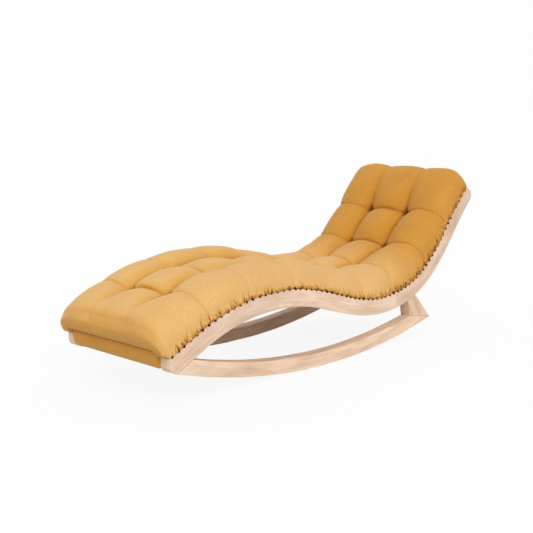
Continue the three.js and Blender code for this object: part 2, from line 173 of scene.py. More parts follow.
def off_rail(run, rise):
    """Points at distances along the centreline and heights above it, straight beyond its ends."""
    run, rise = np.broadcast_arrays(np.asarray(run, float), np.asarray(rise, float))
    inside = np.clip(run, 0, RUN)
    x = np.interp(inside, line_run, line[:, 0])
    z = np.interp(inside, line_run, line[:, 1])
    fx = np.interp(inside, line_run, line_tangent[:, 0])
    fz = np.interp(inside, line_run, line_tangent[:, 1])
    scale = np.hypot(fx, fz)
    fx, fz = fx / scale, fz / scale
    beyond = run - inside
    return np.stack([x + fx * beyond - fz * rise, z + fz * beyond + fx * rise], -1)


def way_along(run):
    """Which way the centreline leads at one place, as a short step."""
    return off_rail(run + 0.001, 0.0) - off_rail(run - 0.001, 0.0)


def in_frame(xz, y):
    """Profile points and distances across, as points in the model's frame."""
    y = np.broadcast_to(y, xz.shape[:-1])
    return np.stack([xz[..., 0] + SHIFT[0], y, xz[..., 1] + SHIFT[1]], -1)


# ---- mesh helpers ----
def smooth_shaded(mesh):
    mesh.polygons.foreach_set("use_smooth", [True] * len(mesh.polygons))
    return mesh


def make_object(name, verts, faces):
    mesh = bpy.data.meshes.new(name)
    mesh.from_pydata([tuple(v) for v in verts], [], [tuple(int(i) for i in f) for f in faces])
    mesh.validate()
    piece = new_object(name, smooth_shaded(mesh))
    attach(piece, "root")
    return piece


def set_vectors(mesh, name, values):
    attribute = mesh.attributes.new(name, "FLOAT_VECTOR", "POINT")
    attribute.data.foreach_set("vector", np.asarray(values, np.float32).ravel())


def coordinates(mesh):
    co = np.zeros(len(mesh.vertices) * 3, np.float32)
    mesh.vertices.foreach_get("co", co)
    return co.reshape(-1, 3).astype(float)


@contextmanager
def edited(mesh):
    """The mesh as a bmesh, written back afterwards."""
    bm = bmesh.new()
    bm.from_mesh(mesh)
    yield bm
    bm.to_mesh(mesh)
    bm.free()


def sharpen(piece, degrees):
    """Smooth shading, broken where faces meet at more than an angle."""
    with edited(piece.data) as bm:
        for edge in bm.edges:
            if len(edge.link_faces) == 2:
                edge.smooth = edge.calc_face_angle(0) < math.radians(degrees)


def ring_faces(rings, count):
    """Quads between rings of numbered points, each ring closed on itself."""
    faces = []
    for low in range(0, (rings - 1) * count, count):
        for i in range(count):
            j = (i + 1) % count
            faces.append((low + i, low + j, low + count + j, low + count + i))
    return faces


def grid_faces(index):
    """Quads of a grid of vertex numbers."""
    quads = np.stack([index[:-1, :-1], index[1:, :-1], index[1:, 1:], index[:-1, 1:]], -1)
    return [tuple(quad) for quad in quads.reshape(-1, 4)]


def bottom_faces(index):
    """Faces straight across, from one long edge of the grid to the other."""
    return [(index[i, 0], index[i, -1], index[i + 1, -1], index[i + 1, 0]) for i in range(len(index) - 1)]


def end_faces(index):
    """One face over each end of the grid."""
    return [tuple(index[0]), tuple(index[-1][::-1])]


# ---- side frames ----
def round_corner(before, corner, after, radius, count=8):
    """Points along the arc that rounds a corner."""
    to_before = (before - corner) / np.linalg.norm(before - corner)
    to_after = (after - corner) / np.linalg.norm(after - corner)
    half = math.acos(float(to_before @ to_after)) / 2
    middle = (to_before + to_after) / np.linalg.norm(to_before + to_after)
    centre = corner + middle * radius / math.sin(half)
    start = corner + to_before * radius / math.tan(half) - centre
    end = corner + to_after * radius / math.tan(half) - centre
    turn = math.atan2(start[0] * end[1] - start[1] * end[0], float(start @ end))
    angles = np.linspace(0, turn, count + 1)
    cos, sin = np.cos(angles), np.sin(angles)
    return centre + np.stack([start[0] * cos - start[1] * sin, start[0] * sin + start[1] * cos], -1)


def on_arc(reach, radius):
    """Points of a circle round the rockers' centre, at distances ahead of it."""
    angle = np.arcsin(np.asarray(reach) / radius)
    return np.stack([radius * np.sin(angle), ROCKER_RADIUS - radius * np.cos(angle)], -1)


def on_floor(outline):
    """The outline with the flat on which the rocker stands."""
    return np.stack([outline[:, 0], outline[:, 1].clip(-SHIFT[1])], -1)


def radial(points):
    return np.hypot(points[..., 0], points[..., 1] - ROCKER_RADIUS)


def crossing(radius, gap):
    """The run at which the rail's underside, less a gap, meets a rocker circle near the nose."""
    runs = np.linspace(-0.05, 0.45, 20001)
    inside = radial(off_rail(runs, -HALF_DEPTH - gap)) < radius
    return runs[np.argmax(inside)]


def rail_outline():
    """Round the nose, along the underside, round the head and back along the top."""
    nose_top = off_rail(0.0, HALF_DEPTH)
    head_top = off_rail(LAST, HALF_DEPTH)
    sole_edge = on_arc(nose_top[0], ROCKER_RADIUS)
    sole_behind = on_arc(-NOSE_REACH + 2 * HALF_DEPTH, ROCKER_RADIUS)
    nose = round_corner(nose_top, sole_edge, sole_behind, NOSE_ROUND)
    run_low = crossing(ROCKER_RADIUS, 0)
    low = off_rail(run_low, -HALF_DEPTH)
    sole = on_arc(np.linspace(nose[-1][0] + 0.004, low[0] - 0.002, 4), ROCKER_RADIUS)
    under_end = off_rail(RUN, -HALF_DEPTH)
    tangent = line_tangent[-1]
    cut = polar(-HEAD_CUT, 1)
    reach = np.cross(head_top - under_end, tangent) / np.cross(cut, tangent)
    corner = head_top - cut * reach
    head = round_corner(under_end, corner, head_top, HEAD_ROUND)
    last = RUN + float((head[0] - under_end) @ tangent)
    bottom = off_rail(np.linspace(run_low, last, 190)[:-1], -HALF_DEPTH)
    top = off_rail(np.linspace(LAST, 0, 190), HALF_DEPTH)
    return on_floor(np.concatenate([nose, sole, bottom, head, top]))


strut_front = on_arc(STRUT_FOOT, ROCKER_RADIUS - ROCKER_DEPTH)
tail_tip = on_arc(TAIL_REACH, ROCKER_RADIUS)
tail_way = (tail_tip - strut_front) / np.linalg.norm(tail_tip - strut_front)
tail_up = np.array([-tail_way[1], tail_way[0]])


def rocker_outline():
    """Along the sole to the tail, back along the top and down the seat under the rail."""
    low_run = crossing(ROCKER_RADIUS, GLUE)
    high_run = crossing(ROCKER_RADIUS - ROCKER_DEPTH, GLUE)
    low = off_rail(low_run, -HALF_DEPTH - GLUE)
    high = off_rail(high_run, -HALF_DEPTH - GLUE)
    sole = on_arc(np.linspace(low[0], TAIL_REACH, 130), ROCKER_RADIUS)
    top = on_arc(np.linspace(STRUT_FOOT, high[0], 110), ROCKER_RADIUS - ROCKER_DEPTH)
    seat = off_rail(np.linspace(high_run, low_run, 24)[1:-1], -HALF_DEPTH - GLUE)
    return on_floor(np.concatenate([sole, top, seat]))


def strut_outline():
    """A wedge: wide on the rocker's tail, narrow under the rail."""
    lift = tail_up * GLUE
    runs = np.linspace(STRUT_RUN + STRUT_HEAD / 2, STRUT_RUN - STRUT_HEAD / 2, 7)
    head = off_rail(runs, -HALF_DEPTH - GLUE)
    front_side = np.linspace(head[-1], strut_front + lift, 10)[1:-1]
    foot = np.linspace(strut_front + lift, tail_tip + lift, 10)
    rear_side = np.linspace(tail_tip + lift, head[0], 12)[1:-1]
    return np.concatenate([foot, rear_side, head, front_side])


def insets(outline):
    """Mitred inward direction of each corner, and how far an edge may be rounded there."""
    ahead = np.roll(outline, -1, 0) - outline
    length = np.linalg.norm(ahead, axis=1)
    normal = np.stack([-ahead[:, 1], ahead[:, 0]], -1) / length[:, None]
    before = np.roll(normal, 1, 0)
    mitre = (normal + before) / (1 + (normal * before).sum(1))[:, None].clip(0.4)
    allowed = np.full(len(outline), EDGE)
    way = ahead / length[:, None]
    turn = (way * np.roll(way, 1, 0)).sum(1)
    for sharp in np.nonzero(turn < math.cos(math.radians(110)))[0]:
        half = (math.pi - math.acos(max(-1, turn[sharp]))) / 2
        apart = np.linalg.norm(outline - outline[sharp], axis=1)
        allowed = np.minimum(allowed, 0.8 * apart * math.tan(half))
    return mitre, allowed


def rounded_slab(outline, low_y, high_y):
    """A bmesh of the outline with thickness across and rounded edges, its flat sides cut into strips."""
    mitre, allowed = insets(outline)
    halves = []
    for end, sense in ((low_y, 1), (high_y, -1)):
        rings = []
        for angle in np.linspace(0, math.pi / 2, EDGE_STEPS):
            xz = outline + mitre * (allowed * (1 - math.sin(angle)))[:, None]
            rings.append(in_frame(xz, end + sense * EDGE * (1 - math.cos(angle))))
        halves.append(rings)
    rings = halves[0] + halves[1][::-1]
    count = len(outline)
    bm = bmesh.new()
    made = [bm.verts.new(point) for ring in rings for point in ring]
    for corners in ring_faces(len(rings), count):
        bm.faces.new([made[i] for i in corners])
    caps = [bm.faces.new(made[:count][::-1]), bm.faces.new(made[-count:])]
    for x in np.arange(rings[0][:, 0].min() + 0.012, rings[0][:, 0].max() - 0.006, STRIP):
        geometry = caps + [e for f in caps for e in f.edges] + [v for f in caps for v in f.verts]
        cut = bmesh.ops.bisect_plane(bm, geom=list(set(geometry)), dist=0.0002,
                                     plane_co=(x, 0, 0), plane_no=(1, 0, 0))
        caps = [g for g in cut["geom"] if isinstance(g, bmesh.types.BMFace) and g.is_valid]
    bmesh.ops.recalc_face_normals(bm, faces=bm.faces)
    return bm


def wood_piece(name, bm, grain):
    mesh = bpy.data.meshes.new(name)
    bm.to_mesh(mesh)
    bm.free()
    piece = new_object(name, smooth_shaded(mesh))
    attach(piece, "root")
    co = coordinates(mesh)
    set_vectors(mesh, "grain", grain(co[:, [0, 2]] - SHIFT, co[:, 1]))
    sharpen(piece, 35)
    return piece


# grain coordinates run along the board, across it and up; rockers and struts have their own stretch of them
ROCKER_GRAIN = 5
STRUT_GRAIN = 9


def along_rail(xz, y):
    nearest = np.argmin(((xz[:, None] - line[None, ::3]) ** 2).sum(-1), 1) * 3
    apart = xz - line[nearest]
    tangent = line_tangent[nearest]
    run = line_run[nearest] + (apart * tangent).sum(1)
    rise = tangent[:, 0] * apart[:, 1] - tangent[:, 1] * apart[:, 0]
    return np.stack([run, y, rise], -1)


def along_rocker(xz, y):
    angle = np.arctan2(xz[:, 0], ROCKER_RADIUS - xz[:, 1])
    return np.stack([angle * ROCKER_RADIUS + ROCKER_GRAIN, y, ROCKER_RADIUS - radial(xz)], -1)


def along_strut(xz, y):
    way = off_rail(STRUT_RUN, -HALF_DEPTH) - (strut_front + tail_tip) / 2
    way /= np.linalg.norm(way)
    return np.stack([xz @ way + STRUT_GRAIN, y, xz @ np.array([-way[1], way[0]])], -1)


def cut_board(bm, run, keep):
    """Keeps the part of the rail before (-1) or after (1) a square joint."""
    spot = in_frame(off_rail(run + keep * GLUE / 2, 0.0), 0.0)
    ahead = way_along(run)
    bmesh.ops.bisect_plane(bm, geom=bm.verts[:] + bm.edges[:] + bm.faces[:], dist=1e-6,
                           plane_co=spot, plane_no=(ahead[0], 0, ahead[1]),
                           clear_inner=keep > 0, clear_outer=keep < 0)
    rim = [e for e in bm.edges if e.is_boundary]
    bmesh.ops.holes_fill(bm, edges=rim, sides=0)


for side, label in SIDES:
    low_y, high_y = (-HALF_WIDTH, -INNER_FACE) if side < 0 else (INNER_FACE, HALF_WIDTH)
    whole = rounded_slab(rail_outline(), low_y, high_y)
    for board, cuts in (("foot", ((FOOT_JOINT, -1),)),
                        ("seat", ((FOOT_JOINT, 1), (BACK_JOINT, -1))),
                        ("back", ((BACK_JOINT, 1),))):
        bm = whole.copy()
        for run, keep in cuts:
            cut_board(bm, run, keep)
        piece = wood_piece(f"{board}_board_{label}", bm, along_rail)
        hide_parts(f"{board}_rail_{label}")
    whole.free()
    beam = rounded_slab(rocker_outline(), low_y, high_y)
    piece = wood_piece(f"rocker_beam_{label}", beam, along_rocker)
    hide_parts(f"rocker_{label}")
    block = rounded_slab(strut_outline(), low_y, high_y)
    piece = wood_piece(f"strut_block_{label}", block, along_strut)
    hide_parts(f"strut_{label}")


# ---- curves and noise for the cushion ----
def smooth(t):
    """An eased step from 0 to 1."""
    t = np.clip(t, 0, 1)
    return t * t * (3 - 2 * t)


def swell(t, power):
    """A rounded hump, 0 at both ends of 0 to 1."""
    return np.sin(math.pi * np.clip(t, 0, 1)) ** power


def bell(x, width):
    return np.exp(-(x / width) ** 2)


def lattice(seed, shape):
    return np.random.default_rng(seed).standard_normal(shape)


NOISE_X, NOISE_Y = 257, 263


def value_noise(x, y, pitch, seed):
    """Smooth noise over two coordinates, mostly between -1 and 1."""
    gx, gy = x / pitch, y / pitch
    ix, iy = np.floor(gx).astype(int), np.floor(gy).astype(int)
    tx, ty = smooth(gx - ix), smooth(gy - iy)
    table = lattice(seed, (NOISE_X, NOISE_Y))

    def at(a, b):
        return table[a % NOISE_X, b % NOISE_Y]

    low = at(ix, iy) * (1 - tx) + at(ix + 1, iy) * tx
    high = at(ix, iy + 1) * (1 - tx) + at(ix + 1, iy + 1) * tx
    return (low * (1 - ty) + high * ty) * 0.6


# ---- cushion: the grid and its plain sections ----
ROWS = 9
COLUMN = HALF_WIDTH / 3
# height of the crown above the rails, at even steps from foot to head
CROWNS = np.array([0.126, 0.114, 0.132, 0.114])
# row lines along the middle, and how square the section's two shoulders are at each
ROW_ENDS = np.array([0, 0.198, 0.391, 0.601, 0.792, 1.008, 1.217, 1.495, 1.712, 1.903])
NEAR_SHOULDERS = [3.8, 3.6, 3.6, 2.9, 2.9, 3.1, 3.8, 4.8, 5.6, 6.5]
FAR_SHOULDERS = [4.2, 4.2, 4.2, 4.6, 6.0, 7.5, 7.5, 6.5, 6.0, 6.0]
# how much lower than the far column the middle and the near one lie at each row line
MIDDLE_SAG = [0, -0.002, 0.012, 0.028, 0.014, -0.002, -0.010, -0.004, 0, 0]
NEAR_SAG = [0, 0.001, 0.005, 0.010, 0.010, 0.006, 0, 0, 0, 0]
# how far the row lines run out of square by the time they reach the far column's middle
FAR_DRIFT = np.array([0, -0.018, -0.040, -0.065, -0.055, -0.030, 0, 0, 0, 0])

# columns of the grid: fabric from the middle to the nails, closer together at the seam and near the nails
GIRTH = 0.355
SEAM_ZONE = 0.018
EDGE_ZONE = 0.050
EDGE_COLUMNS = 24
half_columns = np.concatenate([
    np.linspace(0, COLUMN - SEAM_ZONE, 12, endpoint=False),
    np.linspace(COLUMN - SEAM_ZONE, COLUMN + SEAM_ZONE, 16, endpoint=False),
    np.linspace(COLUMN + SEAM_ZONE, GIRTH - EDGE_ZONE, 34, endpoint=False),
    np.linspace(GIRTH - EDGE_ZONE, GIRTH, EDGE_COLUMNS + 1)])
across = np.concatenate([-half_columns[:0:-1], half_columns])

# stations along: under and round the foot end, along the rails, round and under the head end
END_STEPS = 40
FOOT_ARC, HEAD_ARC = 0.085, 0.080
runs = np.linspace(0, LAST, 1417)
bend = np.linspace(math.pi, 0, END_STEPS + 1)[:-1]
station_run = np.concatenate([np.zeros(END_STEPS), runs, np.full(END_STEPS, LAST)])
station_bend = np.concatenate([bend, np.zeros(len(runs)), bend[::-1]])
station_end = np.concatenate([-np.ones(END_STEPS), np.zeros(len(runs)), np.ones(END_STEPS)])
end_arc = np.where(station_end < 0, FOOT_ARC, HEAD_ARC)
station_s = station_run + station_end * end_arc * station_bend / (math.pi / 2)


def crown_at(run):
    place = np.clip(run / RUN, 0, 1) * (len(CROWNS) - 1)
    first = np.minimum(place.astype(int), len(CROWNS) - 2)
    ease = smooth(place - first)
    return CROWNS[first] * (1 - ease) + CROWNS[first + 1] * ease


def half_section(squareness, way):
    """Distance across and share of the crown's height, at shares of a squared arch's length."""
    angle = np.linspace(0, math.pi / 2, 1200)
    sin, cos = np.sin(angle), np.cos(angle).clip(0)
    reach = (sin ** squareness + cos ** squareness) ** (-1 / squareness)
    y, z = HALF_WIDTH * sin * reach, cos * reach
    length = np.concatenate([[0], np.cumsum(np.hypot(np.diff(y), np.diff(z) * 0.115))])
    return np.interp(way * length[-1], length, y), np.interp(way * length[-1], length, z)


side_y = np.zeros((len(station_run), len(across)))
side_f = np.zeros_like(side_y)
for sense, squareness in ((-1, NEAR_SHOULDERS), (1, FAR_SHOULDERS)):
    part = np.nonzero(across * sense >= 0)[0]
    for station, power in enumerate(np.interp(station_run, ROW_ENDS, squareness)):
        y, z = half_section(power, abs(across[part]) / GIRTH)
        side_y[station, part] = sense * y
        side_f[station, part] = z
side_f[:, [0, -1]] = 0

# ---- cushion: quilting ----
# depths of the valleys: where two cross, halfway between, and near the nails, with what the back adds there
TUFT = 0.054
MID_VALLEY = 0.036
EDGE_VALLEY = 0.0085
EDGE_VALLEY_BACK = 0.0025
TUFT_REACH = 0.050
VALLEY_POWER = 0.7
COLUMN_POWER = 0.60
ROW_POWER = 0.44
# share of the depth that is left at the two ends
FOOT_SHALLOW, HEAD_SHALLOW = 0.20, 0.25
# how far above the nails the outer cells have lost their swelling
CELL_CLEAR = 0.075
SEAM_WOBBLE = 0.004
STITCH = 0.0045
PLUMPNESS = 0.0025
# the pit at each drawn-in point, and the ring of folds round it
PIT_DEPTH, PIT_WIDTH = 0.026, 0.014
FOLD_DEPTH, FOLD_RING, FOLD_WIDTH = 0.0022, 0.034, 0.026


def drift_at(v):
    """The row lines' distances along the rail for one distance across the fabric."""
    return ROW_ENDS + FAR_DRIFT * min(1, max(0, (v + COLUMN) / (3 * COLUMN)))


def row_place(s, v):
    """Row number of every grid point, whole on the row lines, which waver away from the seams."""
    out = np.zeros((len(s), len(v)))
    lines = np.arange(ROWS + 1)
    for column in range(len(v)):
        wobble = SEAM_WOBBLE * value_noise(lines * 0.21, np.full(ROWS + 1, v[column]), 0.06, 5)
        knots = drift_at(v[column])
        knots[1:-1] += wobble[1:-1] * smooth(abs(abs(v[column]) - COLUMN) / 0.05)
        knots[0] = 0
        out[:, column] = np.interp(s, knots, lines)
    return out


def quilting(s, v):
    """How deep the quilting sinks, and how much shade is painted into its creases, at every grid point."""
    row = row_place(station_s.clip(0, RUN), across)
    number = np.minimum(np.floor(row), ROWS - 1).astype(int)
    t_row = row - number
    wobble = SEAM_WOBBLE * value_noise(s, np.sign(v) * 0.3, 0.09, 9)
    seam = COLUMN + wobble * swell(t_row, 1)
    outer = abs(v) > seam
    t_column = np.where(outer, (abs(v) - seam) / (GIRTH - CELL_CLEAR - seam), (v + seam) / (2 * seam))
    column_swell = np.where(outer & (t_column > 0.5), 1, swell(t_column, COLUMN_POWER))
    # the first and the last half row run out over the ends without a valley
    end_row = (row < 0.5) | (row > ROWS - 0.5)
    row_swell = np.where(end_row, 1, swell(t_row, ROW_POWER))
    foot_fade = FOOT_SHALLOW + (1 - FOOT_SHALLOW) * smooth((row - 0.1) / 0.9)
    head_fade = HEAD_SHALLOW + (1 - HEAD_SHALLOW) * smooth(ROWS - row)
    fade = np.minimum(foot_fade, head_fade)
    outer_share = np.where(outer, np.clip((abs(v) - seam) / (GIRTH - seam), 0, 1), 0)
    on_back = smooth((s - 1.05) / 0.35)
    column_depth = (TUFT + (MID_VALLEY - TUFT) * np.where(end_row, 1, swell(t_row, VALLEY_POWER))) * fade
    mid_depth = TUFT + (MID_VALLEY - TUFT) * swell(t_column, VALLEY_POWER)
    from_tuft = (abs(v) - seam).clip(0)
    edge_valley = EDGE_VALLEY + EDGE_VALLEY_BACK * on_back
    outer_depth = edge_valley + (TUFT - edge_valley) * np.exp(-(from_tuft / TUFT_REACH) ** 1.4)
    to_edge = 1 - 0.25 * smooth((outer_share - 0.60) / 0.40)
    row_depth = np.where(outer, outer_depth, mid_depth) * to_edge
    a, b = 1 - column_swell, 1 - row_swell
    dip = column_depth * a + row_depth * b - np.maximum(column_depth, row_depth) * a * b
    # stitched lines at the bottom of the valleys
    from_seam = abs(abs(v) - seam)
    from_row = np.where(end_row, 1, np.minimum(t_row, 1 - t_row) * np.diff(ROW_ENDS)[number])
    line_a = bell(from_seam, STITCH) * fade ** 1.5
    line_b = bell(from_row, STITCH) * to_edge
    line_b = line_b * np.where(outer, 0.45 + 0.10 * on_back + 0.30 * bell(from_tuft, TUFT_REACH), 1)
    stitched = np.maximum(line_a, line_b)
    dip = dip + STITCH * stitched
    # painted shade: darker down the valleys and along the stitched lines
    crease_shade = np.maximum(a ** 1.3 * fade * 0.5, b ** 1.3 * (row_depth / TUFT) * 0.4)
    crease_shade = np.maximum(crease_shade, 0.25 * stitched)
    # no two cells are quite as plump
    plump = lattice(3, (ROWS, 3))[number, np.where(outer, np.where(v < 0, 0, 2), 1)]
    cell = np.where(end_row, 1, swell(t_row, 1))
    dip = dip - PLUMPNESS * plump * cell * swell(t_column.clip(0, 1), 1)
    # drawn-in points where valleys cross, with short folds that run out of them, and painted shade in their
    # pits and slits
    for k in range(1, ROWS):
        for sense in (-1, 1):
            du, dv = s - drift_at(sense * COLUMN)[k], v - sense * COLUMN
            away = np.hypot(du, dv)
            turn = np.arctan2(dv, du)
            seed = lattice(100 + 2 * k + (sense > 0), 6)
            fold = np.cos(4 * turn + seed[0]) * 0.5 + np.cos(7 * turn + seed[1]) * 0.5
            dip = dip + PIT_DEPTH * bell(away, PIT_WIDTH)
            dip = dip + FOLD_DEPTH * np.clip(fold, 0, 1) ** 2 * bell(away - FOLD_RING, FOLD_WIDTH)
            crease_shade = np.maximum(crease_shade, 1.6 * bell(away, 0.0145))
            crease_shade = np.maximum(crease_shade, 0.30 * bell(away, 0.045))
            slit = np.exp(-(dv / 0.008) ** 2 - ((du - 0.010) / 0.022) ** 2)
            crease_shade = np.maximum(crease_shade, 1.2 * slit)
    # the fabric is never quite even
    dip = dip - 0.0012 * value_noise(s, v, 0.055, 21) - 0.0005 * value_noise(s, v, 0.021, 22)
    return dip, crease_shade


# ---- cushion: the skin ----
FOOT_OVERHANG = 0.029
FOOT_SKEW = 0.006
HEAD_OVERHANG = 0.037
# how the two ends roll over, first the foot's and then the head's
END_ROLLS = 0.080, 0.06
ROLL_POWERS = 2.05, 2.6
TIPS = 0.47, 0.46
CORNER_POWERS = 0.30, 0.80
BULGE_POWERS = 0.62, 0.9
END_INSETS = 0.014, 0.030
# the foot's underside stands off the border's top, as far as the border reaches
BORDER_LIP = 0.019
LIP_REACH = 0.238
RAIL_GAP = 0.0006
SAG_EASE = 0.07


def grid_normals(points):
    along = np.gradient(points, axis=0)
    sideways = np.gradient(points, axis=1)
    normal = np.cross(along, sideways)
    length = np.linalg.norm(normal, axis=-1)[..., None]
    return normal / length.clip(1e-12)


def cushion_points():
    """Grid of points of the cushion's outer skin, its fabric coordinates and the shade painted into its
    creases.
    """
    s, v = np.meshgrid(station_s, across, indexing="ij")
    run = np.broadcast_to(station_run[:, None], s.shape)
    end = station_end[:, None]
    bends = station_bend[:, None]
    dip, crease_shade = quilting(s, v)
    foot_side = run < LAST / 2

    def by_end(foot, head):
        return np.where(foot_side, foot, head)

    in_middle = smooth((COLUMN + 0.045 - v) / SAG_EASE) * smooth((COLUMN + 0.045 + v) / SAG_EASE)
    near_side = smooth((-COLUMN + 0.025 - v) / SAG_EASE)
    sag = (np.interp(run, ROW_ENDS, MIDDLE_SAG) * in_middle
           + np.interp(run, ROW_ENDS, NEAR_SAG) * near_side * (1 - in_middle))
    height = crown_at(run) * side_f - sag * side_f ** 0.5
    # the ends roll over, bulge past the rails' ends and draw in to the seam below
    foot_reach = FOOT_OVERHANG + FOOT_SKEW * side_y / HALF_WIDTH
    reach = by_end(foot_reach, HEAD_OVERHANG) * side_f ** by_end(*CORNER_POWERS)
    roll = by_end(*END_ROLLS)
    power = by_end(*ROLL_POWERS)
    sin, cos = np.sin(bends), np.cos(bends)
    from_end = by_end(run, LAST - run)
    past_end = np.where(cos >= 0, reach * sin, reach)
    into = ((roll - from_end).clip(0) + np.where(end != 0, past_end, 0)) / (roll + reach)
    kept = (1 - into.clip(0, 1) ** power).clip(0) ** (1 / power)
    middle = by_end(*TIPS) * height
    top = middle + (height - middle) * kept
    lip = by_end(BORDER_LIP * smooth((LIP_REACH - abs(side_y)) / 0.006), 0)
    under = -cos.clip(-1, 0)
    rise = np.where(cos >= 0, top, lip + (middle - lip) * (1 - under ** 1.15))
    past = end * reach * np.where(cos >= 0, sin, sin ** by_end(*BULGE_POWERS))
    y = side_y + np.sign(v) * 0.003 * np.sin(math.pi * side_f) * np.abs(cos)
    inset = by_end(*END_INSETS) * sin * (end != 0)
    y = y * (1 - inset / HALF_WIDTH * abs(side_y) / HALF_WIDTH)
    xz = off_rail(run + np.where(end > 0, past, 0), HALF_DEPTH + RAIL_GAP + rise.clip(0))
    slope = NOSE_SLOPE * (1 - smooth(bends / math.radians(95)))
    forward = np.where(end < 0, past, 0)
    xz = xz + np.stack([forward * np.cos(slope), forward * np.sin(slope)], -1)
    plain = in_frame(xz, y)
    sunk = dip * (1 - smooth((bends - 0.7) / 1.2))
    return plain - grid_normals(plain) * sunk[..., None], s, v, crease_shade


# ---- cushion: the gathered edges ----
NAIL_PITCH = 0.0295
SCATTER = 0.003
# folds at the nails and the folds between them
FOLD_DEPTHS = 0.0100, 0.0090
FOLD_HEIGHTS = 0.0140, 0.0170
FOLD_NARROW, FOLD_SPREAD = 0.0026, 0.035
FOLD_LEAN = 0.5
# the band that swells above the nails, and the ruffles in it
BAND_RISE, BAND_RISE_BACK = 0.010, 0.004
BAND_SWELL, RUFFLE, RUFFLE_PITCH = 0.0064, 0.0052, 0.0052
nail_runs = np.arange(0.012, LAST - 0.006, NAIL_PITCH)
nail_runs = nail_runs + np.random.default_rng(8).uniform(-SCATTER, SCATTER, len(nail_runs))


def gathers(s, v):
    """How far the gathered edges stand out, less at their folds, and the shade painted into their folds and
    ruffles.
    """
    out = np.zeros((len(s), len(v)))
    fold_shade = np.zeros_like(out)
    gaps = np.diff(nail_runs)
    between = np.concatenate([nail_runs[:-1] + gaps / 3, nail_runs[:-1] + gaps * 2 / 3])
    band_rise = BAND_RISE + BAND_RISE_BACK * smooth((s - 1.10) / 0.30)
    for sense in (-1, 1):
        rand = np.random.default_rng(40 + sense)
        place = np.concatenate([nail_runs, between + rand.uniform(-SCATTER, SCATTER, len(between))])
        count = len(place)
        nailed = np.arange(count) < len(nail_runs)
        depth = np.where(nailed, *FOLD_DEPTHS) * rand.uniform(0.6, 1.3, count)
        depth = depth * (1 + 0.35 * smooth((place - 1.10) / 0.25))
        tall = np.where(nailed, *FOLD_HEIGHTS) * rand.uniform(0.6, 1.4, count)
        # the folds hang about upright, whatever the rail's slope
        lean = np.interp(place, line_run, line_tangent[:, 1] / line_tangent[:, 0])
        lean = lean + rand.uniform(-FOLD_LEAN, FOLD_LEAN, count)
        grid = np.meshgrid(s, v * sense, indexing="ij")
        ruffle = value_noise(*grid, RUFFLE_PITCH, 60 + sense).clip(-1, 1)
        for column in np.nonzero(v * sense > GIRTH - EDGE_ZONE)[0]:
            up = GIRTH - abs(v[column])
            apart = (s[:, None] - (place + lean * up)) / (FOLD_NARROW + FOLD_SPREAD * up)
            fall = np.exp(-apart ** 2 - (up / tall) ** 2)
            drawn = (fall * depth).max(1)
            start = min(1, 0.35 + up / 0.004)
            band = bell(up - band_rise, band_rise)
            out[:, column] = (band * (BAND_SWELL + RUFFLE * ruffle[:, column]) - drawn) * start
            # painted shade: dark down the folds, and in the ruffled band darker where the ruffles sink
            fold_shade[:, column] = np.maximum((fall ** 0.8 * (depth / 0.0080)).max(1),
                                            band * (0.22 - 0.50 * ruffle[:, column]))
    return out, fold_shade


# ---- cushion: the filling ----
SIM_STEP = 8
SIM_FRAMES = 20
SIM_CAP = 0.016
CLOTH = {"quality": 6, "mass": 0.25, "tension_stiffness": 12, "compression_stiffness": 8,
         "shear_stiffness": 4, "bending_stiffness": 3, "air_damping": 4, "use_pressure": True,
         "uniform_pressure_force": 4, "shrink_min": 0.004, "vertex_group_mass": "pins"}


def hermite(x, known, values):
    """Smooth curve through values at known places, along the first axis."""
    slope = np.gradient(values, known, axis=0)
    k = np.clip(np.searchsorted(known, x) - 1, 0, len(known) - 2)
    gap = known[k + 1] - known[k]
    t = ((x - known[k]) / gap).reshape((-1,) + (1,) * (values.ndim - 1))
    gap = gap.reshape(t.shape)
    a, b = values[k], values[k + 1]
    return (a * (1 + 2 * t) * (1 - t) ** 2 + slope[k] * gap * t * (1 - t) ** 2
            + b * t * t * (3 - 2 * t) + slope[k + 1] * gap * t * t * (t - 1))


